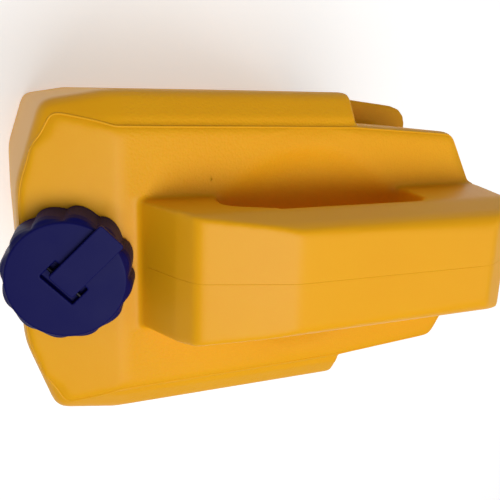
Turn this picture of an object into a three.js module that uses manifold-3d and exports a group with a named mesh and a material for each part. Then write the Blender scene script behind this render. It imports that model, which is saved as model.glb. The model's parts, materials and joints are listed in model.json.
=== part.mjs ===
// Portable gravity-fed eyewash station: a blow-moulded tank with a carrying handle, a lugged fill cap with a
// flip-up vent, and a fold-down bowl in the front niche that opens the valve and carries two spray heads.
// Millimetres, +Z up. The origin is on the floor under the middle of the tank.
// The bowl faces -Y and the cap is at +Y.
import * as THREE from "three";
import { mergeVertices } from "three/addons/utils/BufferGeometryUtils.js";
import Module from "manifold-3d";

const wasm = await Module();
wasm.setup();

// ---------------------------------------------------------------- driving dimensions

const TANK_LENGTH = 390; // rear wall to front face
const TANK_WIDTH = 250; // across the shoulders
const DECK_HEIGHT = 372; // floor to deck
const WALL = 4; // blow-moulded wall
const FIT = 0.3; // gap between pieces that touch
const RUNNING = 0.06; // radial clearance of a shaft that turns in a hole

const DRAFT = 14; // the foot of each side wall stands this far inside its shoulder
const REAR_DRAFT = 12; // and the rear wall's foot this far forward; the front is upright
const FOOT_EDGE = 8; // rounding around the foot
const SHOULDER_INSET = 23; // from the shoulder's edge in to the deck's rim
const SHOULDER_DROP = 20; // from the deck down to the shoulder's edge
const SHOULDER_FRONT = 129; // the shoulders stop this far behind the front face
const LEDGE_DROP = 120; // from the deck down to the side ledge in front of the shoulders
const RIM_ROLL = 6; // rounding where the deck rolls into its rim
const REAR_SLOPE = 13.6; // degrees that the deck falls away under the cap
const REAR_SLOPE_LENGTH = 68; // length of that slope, back to the rear wall

const HANDLE_WIDTH = 95;
const HANDLE_HEIGHT = 79; // top of the grip above the deck
const HANDLE_ROOT = 84; // from the rear wall forward to the handle's rear root
const GRIP_THICKNESS = 33;
const GRIP_FRONT_POST = 88; // from the front face back to the finger gap
const GRIP_REAR_POST = 54; // from the handle's rear root forward to the finger gap
const DISH_DEPTH = 12; // the deck is dished under the grip for knuckles

const NECK_BORE_R = 29;
const NECK_R = 33;
const NECK_ROOT = 12; // how far the neck reaches down into the tank
const NECK_SETBACK = 35; // from the rear wall forward to the neck's centre, along the slope's base
const THREAD_PITCH = 6;
const THREAD_DEPTH = 2.2;
const THREAD_TURNS = 1.5;
const CAP_HEIGHT = 31; // top of the cap above the slope
const CAP_TOP_R = 41;
const CAP_SKIRT_R = 43;
const CAP_PLATE = 8;
const CAP_FLOOR_GAP = 1.2; // under the cap's skirt
const LUG_COUNT = 12;
const LUG_DEPTH = 3;
const GASKET_THICKNESS = 2.2;

const FLAP_LENGTH = 50;
const FLAP_WIDTH = 21;
const FLAP_THICKNESS = 4.6;
const FLAP_TURN = -45; // degrees from +X round to the flap's free end, which points forward
const FLAP_PIN_R = 1.3;
const VENT_R = 4;
const FLAP_PIN_DEPTH = 1.9; // pin under the cap's top
const FLAP_HEEL = 3; // pin to the flap's near end
const FLAP_BACKSET = 2; // pin behind the cap's centre
const WELL_DEPTH = 5.4; // pocket around the pin
const WELL_SIDE = 4; // pocket beyond each side of the flap
const WELL_AHEAD = 7.5; // pocket in front of the pin
const VENT_OFFSET = 24; // from the flap's pin to the vent hole
const VENT_PLUG_DEPTH = 2.5;

const NICHE_WIDTH = 168;
const NICHE_DEPTH = 90;
const NICHE_FLOOR = 25;
const NICHE_TOP = 288;
const NICHE_CORNER = 14;

const HINGE_FORWARD = 45; // from the hinge forward to the bowl's outer face
const HINGE_HEIGHT = 80;
const BOWL_REACH = 182; // hinge to the bowl's far lip
const BOWL_HEEL = 25; // hinge to the bowl's near end
const BOWL_WALL = 4;
const BOWL_SIDE_GAP = 2; // each side, between bowl and niche
const BOWL_LIP_DEPTH = 26;
const BOWL_DRAIN_R = 4;

const HEAD_SPREAD = 68; // between the two spray heads
const HEAD_REACH = 116; // hinge to the spray heads
const HEAD_R = 17;
const HEAD_HEIGHT = 27;
const HEAD_WALL = 2.5;
const HEAD_SCREW_R = 1.8;
const ROSE_THICKNESS = 2;
const ROSE_HOLE_R = 1.1;
const FLOW_DISC_THICKNESS = 2;

const VALVE_BODY_R = 17;
const VALVE_BODY_LENGTH = 60;
const ROTOR_R = 11;
const ROTOR_LENGTH = 76;
const WATERWAY_R = 5;
const SEAL_SECTION = 2.2; // thickness of a rotor seal
const SEAL_X = 22; // from the middle of the rotor to each seal
const SHANK_GRIP = 18; // length of outlet shank inside the valve body
const TUBE_R = 6;
const TUBE_BORE_R = 4;

const SHANK_R = 12;
const FLANGE_R = 23;
const FLANGE_THICKNESS = 4;
const OUTLET_GASKET = 2;
const OUTLET_NUT_FLATS = 36;
const OUTLET_NUT_THICKNESS = 6;
const STRAINER_LENGTH = 42;

const PIVOT_R = 5;
const PIVOT_HEAD_R = 8;
const PIVOT_THREAD_R = 3;
const BUSH_WALL = 2;
const INSERT_R = 6.5;
const INSERT_LENGTH = 15;
const WASHER_THICKNESS = 1.2;

const CATCH_RIB = 3; // thickness of the bowl's rib that the spring catch grips
const CATCH_SHEET = 1.2;
const CATCH_WIDTH = 18;
const CATCH_SCREW_R = 2;
const CATCH_SCREW_LENGTH = 12;
const CATCH_SCREW_SETBACK = 40; // from the front face

// ---------------------------------------------------------------- places worked out from them

const REAR = TANK_LENGTH / 2;
const FRONT = -REAR;
const SHOULDER_X = TANK_WIDTH / 2;
const RIM_X = SHOULDER_X - SHOULDER_INSET;
const LEDGE_Z = DECK_HEIGHT - LEDGE_DROP;
const NICHE_BACK = FRONT + NICHE_DEPTH;
const NICHE_X = NICHE_WIDTH / 2;
const HINGE_Y = FRONT + 1 + HINGE_FORWARD;
const SLOPE = THREE.MathUtils.degToRad(REAR_SLOPE);
const SLOPE_START_Y = REAR - REAR_SLOPE_LENGTH;
const NECK_Y = REAR - NECK_SETBACK;
const NECK_Z = DECK_HEIGHT - (NECK_Y - SLOPE_START_Y) * Math.tan(SLOPE);
const NECK_TOP = CAP_HEIGHT - CAP_PLATE - 2 * FIT - GASKET_THICKNESS;
const BOWL_X = NICHE_X - BOWL_SIDE_GAP;
const CATCH_SCREW_Y = FRONT + CATCH_SCREW_SETBACK;
const ROUND = 20; // sides of a turned piece
const ARC = 3; // steps around a rounded corner

// ---------------------------------------------------------------- shapes

// A closed three.js geometry as a solid that can be joined and cut.
function solid(geometry) {
  const bare = geometry.index ? geometry.toNonIndexed() : geometry.clone();
  bare.deleteAttribute("normal");
  bare.deleteAttribute("uv");
  const merged = mergeVertices(bare, 1e-4);
  const triVerts = new Uint32Array(merged.index.array);
  const vertProperties = merged.attributes.position.array;
  const made = new wasm.Manifold(new wasm.Mesh({ numProp: 3, vertProperties, triVerts }));
  if (made.volume() > 0) return made;
  for (let i = 0; i < triVerts.length; i += 3) {
    [triVerts[i + 1], triVerts[i + 2]] = [triVerts[i + 2], triVerts[i + 1]];
  }
  return new wasm.Manifold(new wasm.Mesh({ numProp: 3, vertProperties, triVerts }));
}

// A solid back to a geometry with flat faces.
function geometryOf(piece) {
  const { vertProperties, triVerts, numProp } = piece.getMesh();
  const positions = new Float32Array((vertProperties.length / numProp) * 3);
  for (let i = 0; i < positions.length / 3; i++) {
    for (let k = 0; k < 3; k++) positions[3 * i + k] = vertProperties[numProp * i + k];
  }
  const geometry = new THREE.BufferGeometry();
  geometry.setAttribute("position", new THREE.BufferAttribute(positions, 3));
  geometry.setIndex(new THREE.BufferAttribute(new Uint32Array(triVerts), 1));
  geometry.computeVertexNormals();
  return geometry;
}

const join = (...pieces) => pieces.reduce((whole, piece) => whole.add(piece));
const cut = (whole, ...pieces) => pieces.reduce((rest, piece) => rest.subtract(piece), whole);

// Corners [x, y, radius] moved inwards by a distance, going round counter-clockwise.
// A negative distance grows them.
function inset(corners, distance) {
  return corners.map(([x, y, radius = 0], i) => {
    const [px, py] = corners[(i + corners.length - 1) % corners.length];
    const [nx, ny] = corners[(i + 1) % corners.length];
    const before = new THREE.Vector2(x - px, y - py).normalize();
    const after = new THREE.Vector2(nx - x, ny - y).normalize();
    const half = before.clone().add(after).normalize();
    const grow = distance / Math.max(before.dot(half), 0.3);
    return [x - half.y * grow, y + half.x * grow, Math.max(radius - distance, radius ? 0.5 : 0)];
  });
}

// The same corners with round arcs. Every corner gives the same number of points,
// so two outlines can be lofted.
function rounded(corners, steps = ARC) {
  return corners.flatMap(([x, y, radius = 0], i) => {
    const corner = new THREE.Vector2(x, y);
    if (!radius) return [corner];
    const toward = [corners.length - 1, 1].map((k) => {
      const [ox, oy] = corners[(i + k) % corners.length];
      return new THREE.Vector2(ox - x, oy - y);
    });
    const room = Math.min(...toward.map((v) => v.length())) * 0.48;
    const [a, b] = toward.map((v) => v.normalize());
    const halfAngle = Math.acos(THREE.MathUtils.clamp(a.dot(b), -1, 1)) / 2;
    const reach = Math.min(radius / Math.tan(halfAngle), room);
    const start = corner.clone().addScaledVector(a, reach);
    const end = corner.clone().addScaledVector(b, reach);
    return Array.from({ length: steps + 1 }, (_, k) => {
      const t = k / steps;
      const p = start.clone().multiplyScalar((1 - t) ** 2);
      return p.addScaledVector(corner, 2 * t * (1 - t)).addScaledVector(end, t ** 2);
    });
  });
}

// A right-hand half outline, rear to front, closed by its mirror image into a counter-clockwise one.
function mirrored(half) {
  const left = half.filter(([x]) => x > 0).map(([x, y, radius]) => [-x, y, radius]);
  return [...half.slice().reverse(), ...left];
}

// A solid through outlines of equal length at rising heights: levels [z, points].
function loft(levels) {
  const count = levels[0][1].length;
  const positions = levels.flatMap(([z, points]) => points.flatMap((p) => [p.x, p.y, z]));
  const index = [];
  for (let k = 0; k + 1 < levels.length; k++) {
    for (let i = 0; i < count; i++) {
      const j = (i + 1) % count;
      const [a, b, c, d] = [k * count + i, k * count + j, (k + 1) * count + j, (k + 1) * count + i];
      index.push(a, b, c, a, c, d);
    }
  }
  const top = (levels.length - 1) * count;
  for (const [a, b, c] of THREE.ShapeUtils.triangulateShape(levels[0][1], [])) index.push(a, c, b);
  for (const [a, b, c] of THREE.ShapeUtils.triangulateShape(levels.at(-1)[1], [])) {
    index.push(top + a, top + b, top + c);
  }
  const geometry = new THREE.BufferGeometry();
  geometry.setAttribute("position", new THREE.Float32BufferAttribute(positions, 3));
  geometry.setIndex(index);
  return solid(geometry);
}

// An outline pushed straight along one axis, from low to high. Its own two axes are the other two,
// in X, Y, Z order.
function prism(axis, points, low, high, holes = []) {
  const shape = new THREE.Shape(points);
  shape.holes = holes.map((hole) => new THREE.Path(hole));
  const geometry = new THREE.ExtrudeGeometry(shape, { depth: high - low, bevelEnabled: false });
  const [x, y, z] = ["x", "y", "z"].map((name) => new THREE.Vector3()[`set${name.toUpperCase()}`](1));
  const bases = { x: [y, z, x], y: [x, z, y.clone().negate()], z: [x, y, z] };
  geometry.applyMatrix4(new THREE.Matrix4().makeBasis(...bases[axis]));
  const start = axis === "y" ? high : low;
  geometry.translate(axis === "x" ? start : 0, axis === "y" ? start : 0, axis === "z" ? start : 0);
  return solid(geometry);
}

// A profile [radius, distance] turned about one axis through the origin.
function turned(axis, profile, sides = ROUND) {
  const points = profile.map(([r, h]) => new THREE.Vector2(r, h));
  const onAxis = profile[0][0] === 0 && profile.at(-1)[0] === 0;
  const geometry = new THREE.LatheGeometry(onAxis ? points : [...points, points[0]], sides);
  if (axis === "z") geometry.rotateX(Math.PI / 2);
  if (axis === "x") geometry.rotateZ(-Math.PI / 2);
  return solid(geometry);
}

const rod = (axis, radius, low, high, sides = ROUND) =>
  turned(axis, [[0, low], [radius, low], [radius, high], [0, high]], sides);
const ring = (axis, bore, radius, low, high, sides = ROUND) =>
  turned(axis, [[bore, low], [radius, low], [radius, high], [bore, high]], sides);
const moved = (piece, matrix) => solid(geometryOf(piece).applyMatrix4(matrix));
const placed = (piece, x, y, z) => moved(piece, new THREE.Matrix4().makeTranslation(x, y, z));
const rectangle = (u0, u1, v0, v1, radius = 0) =>
  rounded([[u0, v0, radius], [u1, v0, radius], [u1, v1, radius], [u0, v1, radius]]);
const block = (x0, x1, y0, y1, z0, z1) => prism("z", rectangle(x0, x1, y0, y1), z0, z1);
// A hole that clears a turning shaft everywhere, though both have flat sides.
const runningBore = (radius) => (radius + RUNNING) / Math.cos(Math.PI / ROUND);

const colours = {
  yellowTank: { color: 0xf2b224, roughness: 0.42, metalness: 0 },
  yellowBowl: { color: 0xefae20, roughness: 0.4, metalness: 0 },
  blueCap: { color: 0x1f2068, roughness: 0.45, metalness: 0 },
  whitePlastic: { color: 0xe9e9e4, roughness: 0.4, metalness: 0 },
  greyPlastic: { color: 0x6d7276, roughness: 0.45, metalness: 0 },
  rubber: { color: 0x1c1c1d, roughness: 0.8, metalness: 0 },
  brass: { color: 0xb59a55, roughness: 0.35, metalness: 1 },
  steel: { color: 0xb9bdc0, roughness: 0.3, metalness: 1 },
};

function add(group, name, piece, look) {
  const mesh = new THREE.Mesh(geometryOf(piece), new THREE.MeshStandardMaterial(colours[look]));
  mesh.name = name;
  group.add(mesh);
  return mesh;
}

// ---------------------------------------------------------------- tank

// Plan of the widest part of the tank: straight flanks, a bowed rear wall and a flat front.
const shoulderPlan = mirrored([
  [0, REAR + 0.5],
  [SHOULDER_X - 65, REAR - 0.5, 60],
  [SHOULDER_X - 7.5, REAR - 20, 14],
  [SHOULDER_X, REAR - 65, 40],
  [SHOULDER_X, FRONT + SHOULDER_FRONT, 60],
  [SHOULDER_X - 15, FRONT, 22],
]);

// Plan of the deck and the body under it: narrower, with a blunt prow.
const rimPlan = mirrored([
  [0, REAR - 2.5],
  [RIM_X - 52, REAR - 2.5, 50],
  [RIM_X - 12, REAR - 13, 15],
  [RIM_X, REAR - 55, 40],
  [RIM_X - 2, FRONT + SHOULDER_FRONT, 60],
  [RIM_X - 8.5, FRONT + 35, 12],
  [RIM_X * 0.3, FRONT, 30],
]);

// Both plans stand on the same drafted walls. Each level is [height, how far inside the plan].
function walls(plan, levels, skin) {
  const [low, high] = [levels[0][0], levels.at(-1)[0]];
  return loft(
    levels.map(([z, within]) => {
      const down = (DECK_HEIGHT - z) / DECK_HEIGHT;
      const leaned = inset(plan, within + skin).map(([x, y, radius]) => [
        x - Math.sign(x) * DRAFT * down,
        y > 0 ? y - REAR_DRAFT * down : y,
        radius,
      ]);
      return [THREE.MathUtils.clamp(z, low + skin, high - skin), rounded(leaned)];
    }),
  );
}

// Side view of everything under the deck line, which falls away under the cap.
function underDeck(drop) {
  const profile = [
    [-TANK_LENGTH, -1],
    [TANK_LENGTH, -1],
    [TANK_LENGTH, DECK_HEIGHT - drop - (TANK_LENGTH - SLOPE_START_Y) * Math.tan(SLOPE)],
    [SLOPE_START_Y, DECK_HEIGHT - drop],
    [-TANK_LENGTH, DECK_HEIGHT - drop],
  ].map(([y, z]) => new THREE.Vector2(y, z));
  return prism("x", profile, -TANK_WIDTH, TANK_WIDTH);
}

const handleTop = DECK_HEIGHT + HANDLE_HEIGHT;
const handleRootY = REAR - HANDLE_ROOT;
const gripRearY = handleRootY - GRIP_REAR_POST;
const gripFrontY = FRONT + GRIP_FRONT_POST;

// Side view of the handle: a steep rear face, a gentle rise to the grip, and a nose that wraps down
// the front.
const handleSide = [
  [FRONT + 16, DECK_HEIGHT - 40, 4],
  [handleRootY + 1, DECK_HEIGHT - 40],
  [handleRootY + 1, DECK_HEIGHT, 12],
  [handleRootY - 15, DECK_HEIGHT + 38, 12],
  [handleRootY - 25, handleTop - 23, 12],
  [handleRootY - 92, handleTop - 3, 30],
  [FRONT + 50, handleTop, 18],
  [FRONT + 21, handleTop - 17, 14],
  [FRONT + 5, DECK_HEIGHT, 30],
];
// Seen from the front: slightly drafted sides and rounded top edges.
const handleSection = [
  [-HANDLE_WIDTH / 2 - 2, DECK_HEIGHT - 40],
  [HANDLE_WIDTH / 2 + 2, DECK_HEIGHT - 40],
  [HANDLE_WIDTH / 2, DECK_HEIGHT + 50, 20],
  [HANDLE_WIDTH / 2 - 10, handleTop, 16],
  [-HANDLE_WIDTH / 2 + 10, handleTop, 16],
  [-HANDLE_WIDTH / 2, DECK_HEIGHT + 50, 20],
];
// The gap for the fingers, straight through from side to side.
const fingerGap = [
  [gripFrontY, DECK_HEIGHT - 2, 14],
  [gripRearY, DECK_HEIGHT - 2, 14],
  [gripRearY, DECK_HEIGHT + 30, 14],
  [gripRearY - 34, handleTop - GRIP_THICKNESS - 1, 20],
  [gripFrontY, handleTop - GRIP_THICKNESS, 16],
];

function dish(skin) {
  const geometry = new THREE.SphereGeometry(1, 20, 12);
  const length = (gripRearY - gripFrontY) / 2;
  geometry.scale(HANDLE_WIDTH / 2 + 36 + skin, length + 4 + skin, DISH_DEPTH + skin);
  geometry.translate(0, (gripRearY + gripFrontY) / 2, DECK_HEIGHT + 1);
  return solid(geometry);
}

function niche(skin) {
  const side = [
    [FRONT - 30, NICHE_FLOOR],
    [NICHE_BACK, NICHE_FLOOR, NICHE_CORNER],
    [NICHE_BACK, NICHE_TOP, NICHE_CORNER],
    [FRONT - 30, NICHE_TOP],
  ];
  return prism("x", rounded(inset(side, -skin)), -NICHE_X - skin, NICHE_X + skin);
}

// The tank's outside, or with a skin the space inside a wall of that thickness.
function tankForm(skin) {
  const foot = [[0, FOOT_EDGE], [3, 2], [FOOT_EDGE, 0]];
  const shoulderTop = DECK_HEIGHT - SHOULDER_DROP;
  const shoulders = walls(
    shoulderPlan,
    [
      ...foot,
      [shoulderTop - 6, 0],
      [shoulderTop, 1],
      [shoulderTop + 5, 5],
      [DECK_HEIGHT - 5, SHOULDER_INSET - 3],
    ],
    skin,
  );
  const body = walls(
    rimPlan,
    [...foot, [DECK_HEIGHT - RIM_ROLL, 0], [DECK_HEIGHT - RIM_ROLL / 3, 1.6], [DECK_HEIGHT, RIM_ROLL]],
    skin,
  );
  const beside = block(
    -TANK_WIDTH,
    TANK_WIDTH,
    FRONT - 50,
    FRONT + SHOULDER_FRONT + skin,
    LEDGE_Z - skin,
    DECK_HEIGHT + 9,
  );
  const handle = prism("x", rounded(inset(handleSide, skin)), -HANDLE_WIDTH, HANDLE_WIDTH).intersect(
    prism("y", rounded(inset(handleSection, skin)), FRONT - 20, REAR),
  );
  const deck = join(cut(shoulders, beside), body).intersect(underDeck(skin));
  const gap = prism("x", rounded(inset(fingerGap, -skin)), -HANDLE_WIDTH, HANDLE_WIDTH);
  return cut(join(deck, cut(handle, gap)), dish(skin), niche(skin));
}

// A helical ridge around the z axis, whose root sinks into the wall it stands on. Angles are in turns.
function thread(rootR, crestR, low, from, turns) {
  const perTurn = 20;
  const steps = Math.round(turns * perTurn);
  const half = THREAD_PITCH * 0.275;
  const section = [[rootR, -half], [crestR, -half * 0.35], [crestR, half * 0.35], [rootR, half]];
  const positions = [];
  for (let i = 0; i <= steps; i++) {
    const angle = (from + i / perTurn) * 2 * Math.PI;
    const taper = Math.max(Math.min(1, i / 3, (steps - i) / 3), 0.03);
    for (const [r, h] of section) {
      const radius = rootR + (r - rootR) * taper;
      const z = low + (i / perTurn) * THREAD_PITCH + h * taper;
      positions.push(radius * Math.cos(angle), radius * Math.sin(angle), z);
    }
  }
  const index = [];
  for (let i = 0; i < steps; i++) {
    for (let k = 0; k < 4; k++) {
      const [a, b] = [4 * i + k, 4 * i + ((k + 1) % 4)];
      index.push(a, a + 4, b + 4, a, b + 4, b);
    }
  }
  const end = 4 * steps;
  index.push(0, 1, 2, 0, 2, 3, end, end + 2, end + 1, end, end + 3, end + 2);
  const geometry = new THREE.BufferGeometry();
  geometry.setAttribute("position", new THREE.Float32BufferAttribute(positions, 3));
  geometry.setIndex(index);
  return solid(geometry);
}

const neckFrame = new THREE.Matrix4().makeRotationX(-SLOPE).setPosition(0, NECK_Y, NECK_Z);
const threadLow = NECK_TOP - 4 - THREAD_TURNS * THREAD_PITCH;

function tank() {
  const neck = join(
    rod("z", NECK_R, -NECK_ROOT, NECK_TOP, 36),
    thread(NECK_R - 0.6, NECK_R + THREAD_DEPTH, threadLow, 0, THREAD_TURNS),
  );
  const bore = rod("z", NECK_BORE_R, -NECK_ROOT - 8, NECK_TOP + 1, 36);
  const insertHole = (side, skin) => {
    const [near, far] = [NICHE_X - 1, NICHE_X + INSERT_LENGTH + 2 * FIT + skin];
    const ends = [side * near, side * far].sort((a, b) => a - b);
    const hole = rod("x", INSERT_R + FIT + skin, ends[0], ends[1], 20);
    return placed(hole, 0, HINGE_Y, HINGE_HEIGHT);
  };
  const screwHole = (skin) =>
    placed(
      rod("z", CATCH_SCREW_R + FIT + skin, NICHE_TOP - 1, NICHE_TOP + CATCH_SCREW_LENGTH + skin, 16),
      0,
      CATCH_SCREW_Y,
      0,
    );
  const hollow = cut(tankForm(WALL), insertHole(-1, WALL), insertHole(1, WALL), screwHole(WALL));
  const outletHole = placed(rod("y", SHANK_R + FIT, -WALL, 3 * WALL), 0, NICHE_BACK, HINGE_HEIGHT);
  return cut(
    join(tankForm(0), moved(neck, neckFrame)),
    hollow,
    moved(bore, neckFrame),
    insertHole(-1, 0),
    insertHole(1, 0),
    screwHole(0),
    outletHole,
  );
}

// ---------------------------------------------------------------- fill cap with its vent flap

const capBoreR = NECK_R + THREAD_DEPTH + 0.7;
const pinZ = CAP_HEIGHT - FLAP_PIN_DEPTH;

// Outline with rounded saw-tooth lugs around it.
function lugged(radius, depth) {
  const perLug = 5;
  return Array.from({ length: LUG_COUNT * perLug }, (_, i) => {
    const along = (i % perLug) / perLug;
    const r = radius + depth * Math.sin(Math.PI * along ** 1.5) ** 0.7;
    const angle = (i / (LUG_COUNT * perLug)) * 2 * Math.PI;
    return new THREE.Vector2(r * Math.cos(angle), r * Math.sin(angle));
  });
}

// The flap's own frame: x along the flap from its pin, y along the pin.
const flapFrame = new THREE.Matrix4()
  .makeRotationZ(THREE.MathUtils.degToRad(FLAP_TURN))
  .multiply(new THREE.Matrix4().makeTranslation(-FLAP_BACKSET, 0, pinZ));
const flapUnder = FLAP_PIN_DEPTH + FIT;
const flapHalf = FLAP_WIDTH / 2;
const pinHalf = flapHalf + WELL_SIDE + 2.5;

function fillCap() {
  const shell = loft([
    [CAP_FLOOR_GAP, lugged(CAP_SKIRT_R, LUG_DEPTH)],
    [CAP_HEIGHT - 8, lugged(CAP_TOP_R + 0.6, LUG_DEPTH)],
    [CAP_HEIGHT - 3.5, lugged(CAP_TOP_R, LUG_DEPTH * 0.75)],
    [CAP_HEIGHT - 1.5, lugged(CAP_TOP_R, 0)],
    [CAP_HEIGHT, lugged(CAP_TOP_R - 1.2, 0)],
  ]);
  const inside = rod("z", capBoreR, 0, CAP_HEIGHT - CAP_PLATE, 40);
  const heelSweep = Math.hypot(FLAP_HEEL, flapUnder + FLAP_THICKNESS);
  const well = block(
    -heelSweep - FIT,
    WELL_AHEAD,
    -flapHalf - WELL_SIDE,
    flapHalf + WELL_SIDE,
    FLAP_PIN_DEPTH - WELL_DEPTH,
    FLAP_PIN_DEPTH + 1,
  );
  const pinHole = rod("y", FLAP_PIN_R + FIT, -pinHalf - FIT, pinHalf + FIT, 16);
  const vent = placed(rod("z", VENT_R, -CAP_PLATE, CAP_PLATE, 24), VENT_OFFSET, 0, 0);
  const threadTop = THREAD_TURNS - 0.25;
  const threadFoot = threadLow - THREAD_PITCH / 4;
  const ridge = thread(capBoreR + 0.6, capBoreR - THREAD_DEPTH, threadFoot, -0.75, threadTop);
  return join(cut(shell, inside, moved(join(well, pinHole, vent), flapFrame)), ridge);
}

function ventFlap() {
  const outline = rectangle(-FLAP_HEEL, FLAP_LENGTH - FLAP_HEEL, -flapHalf, flapHalf, 2);
  const blade = prism("z", outline, flapUnder, flapUnder + FLAP_THICKNESS);
  const barrel = join(
    rod("y", FLAP_HEEL, -flapHalf, flapHalf, 24),
    block(-FLAP_HEEL, FLAP_HEEL, -flapHalf, flapHalf, 0, flapUnder + 1),
  );
  const pinHole = rod("y", runningBore(FLAP_PIN_R), -flapHalf - 1, flapHalf + 1);
  const socketTop = flapUnder + FLAP_THICKNESS - 1.4;
  const socket = placed(rod("z", VENT_R / 2 + FIT, flapUnder - 1, socketTop, 16), VENT_OFFSET, 0, 0);
  return cut(join(blade, barrel), pinHole, socket);
}

function ventPlug() {
  const top = flapUnder - FIT;
  const profile = [
    [0, top - VENT_PLUG_DEPTH],
    [VENT_R - 1.2, top - VENT_PLUG_DEPTH],
    [VENT_R - 0.6, top - 1],
    [VENT_R - 0.6, top],
    [VENT_R / 2, top],
    [VENT_R / 2, top + FLAP_THICKNESS - 1.7],
    [0, top + FLAP_THICKNESS - 1.7],
  ];
  return placed(turned("z", profile, 20), VENT_OFFSET, 0, 0);
}

// ---------------------------------------------------------------- bowl, in the hinge's own frame

const bowlFace = -HINGE_FORWARD;
const bowlTop = BOWL_REACH;
const headY = bowlFace + BOWL_WALL + FIT; // the heads stand on the bowl's floor

// Side view of the bowl, folded up: floor towards the front, a heel under the hinge and a lip at the top.
const bowlSide = [
  [bowlFace, -BOWL_HEEL, 10],
  [BOWL_HEEL - 12, -BOWL_HEEL, 10],
  [BOWL_HEEL - 12, 12, 12],
  [bowlFace + BOWL_LIP_DEPTH, bowlTop - 60, 30],
  [bowlFace + BOWL_LIP_DEPTH, bowlTop, 6],
  [bowlFace, bowlTop, 12],
];

// Countersunk screw from under the bowl's floor up into a spray head, or the hole that it needs.
function headScrew(clearance = 0) {
  return turned("y", [
    [0, -clearance],
    [HEAD_SCREW_R * 2 + clearance, -clearance],
    [HEAD_SCREW_R * 2 + clearance, 0.4 - clearance / 2],
    [HEAD_SCREW_R + clearance, 2.4],
    [HEAD_SCREW_R + clearance, BOWL_WALL + 2.6 + clearance],
    [0, BOWL_WALL + 2.6 + clearance],
  ], 16);
}

function bowl() {
  const outside = prism("x", rounded(bowlSide), -BOWL_X, BOWL_X);
  const inner = inset(bowlSide, BOWL_WALL).map(([y, z, radius], i) => {
    const atEnds = i >= 1 && i <= 4;
    return [atEnds ? y + 3 * BOWL_WALL : y, z, radius];
  });
  const basin = prism("x", rounded(inner), -BOWL_X + BOWL_WALL, BOWL_X - BOWL_WALL);
  const drains = [-2, -1, 0, 1, 2].map((k) =>
    placed(rod("y", BOWL_DRAIN_R, bowlFace - 1, bowlFace + BOWL_WALL + 1, 16), k * 22, 0, bowlTop - 28),
  );
  const inletNotch = block(
    -VALVE_BODY_LENGTH / 2 - 4,
    VALVE_BODY_LENGTH / 2 + 4,
    -SHANK_R - 9,
    BOWL_HEEL,
    -BOWL_HEEL - 1,
    1 - VALVE_BODY_R,
  );
  const bushHole = rod("x", PIVOT_R + BUSH_WALL + FIT, -BOWL_X - 1, BOWL_X + 1);
  const rib = prism(
    "x",
    rounded([
      [bowlFace + 2, bowlTop - 2],
      [bowlFace + BOWL_LIP_DEPTH - 6, bowlTop - 2],
      [bowlFace + BOWL_LIP_DEPTH - 6, bowlTop + 12, 4],
      [bowlFace + 8, bowlTop + 12, 8],
    ]),
    -CATCH_RIB / 2,
    CATCH_RIB / 2,
  );
  const screwHoles = [-1, 1].map((side) =>
    placed(headScrew(FIT), (side * HEAD_SPREAD) / 2, bowlFace, HEAD_REACH),
  );
  return join(cut(outside, basin, bushHole, inletNotch, ...drains, ...screwHoles), rib);
}

// Water comes in along +Y from the tank, turns through the rotor and leaves at both of its ends.
function valveBody() {
  const half = VALVE_BODY_LENGTH / 2;
  const barrel = rod("x", VALVE_BODY_R, -half, half);
  const socketEnd = NICHE_BACK - HINGE_Y - OUTLET_NUT_THICKNESS - 4;
  const inlet = rod("y", SHANK_R + 4, 0, socketEnd);
  const socket = rod("y", SHANK_R + FIT, socketEnd - SHANK_GRIP, socketEnd + 1);
  const port = rod("y", WATERWAY_R, 0, socketEnd);
  return cut(join(barrel, inlet), rod("x", runningBore(ROTOR_R), -half - 1, half + 1), socket, port);
}

function valveRotor() {
  const half = ROTOR_LENGTH / 2;
  const barrel = rod("x", ROTOR_R, -half, half);
  const channel = ring("x", ROTOR_R - SEAL_SECTION - FIT, ROTOR_R + 1, -SEAL_SECTION, SEAL_SECTION);
  const groove = (side) => placed(channel, side * SEAL_X, 0, 0);
  const port = rod("z", WATERWAY_R - 1, -ROTOR_R - 1, 0, 16);
  return cut(barrel, rod("x", WATERWAY_R - 1, -half - 1, half + 1, 24), port, groove(-1), groove(1));
}

function rotorSeal() {
  const radius = ROTOR_R - SEAL_SECTION / 2 - FIT / 2;
  const section = Array.from({ length: 8 }, (_, i) => {
    const angle = (i / 8) * 2 * Math.PI;
    return [radius + (SEAL_SECTION / 2 - FIT / 2) * Math.cos(angle), (SEAL_SECTION / 2) * Math.sin(angle)];
  });
  return turned("x", section, 24);
}

// From the rotor's end out, up the bowl and in to the head's side.
function supplyTube(side) {
  const start = ROTOR_LENGTH / 2 + FIT;
  const headX = HEAD_SPREAD / 2;
  const centre = headY + HEAD_HEIGHT / 2;
  const path = new THREE.CatmullRomCurve3(
    [
      [start, 0, 0],
      [start + 4, 0, 0],
      [start + 12, -2, 6],
      [start + 14, -8, 18],
      [start + 10, centre, 44],
      [headX + 2, centre, HEAD_REACH - HEAD_R - 24],
      [headX, centre, HEAD_REACH - HEAD_R - 8],
      [headX, centre, HEAD_REACH - HEAD_R - FIT],
    ].map(([x, y, z]) => new THREE.Vector3(side * x, y, z)),
    false,
    "centripetal",
  );
  const circle = (radius, sides) =>
    Array.from({ length: sides }, (_, i) => {
      const angle = (i / sides) * 2 * Math.PI;
      return new THREE.Vector2(radius * Math.cos(angle), radius * Math.sin(angle));
    });
  const section = new THREE.Shape(circle(TUBE_R, 10));
  section.holes = [new THREE.Path(circle(TUBE_BORE_R, 10).reverse())];
  return solid(new THREE.ExtrudeGeometry(section, { steps: 14, extrudePath: path, bevelEnabled: false }));
}

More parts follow.
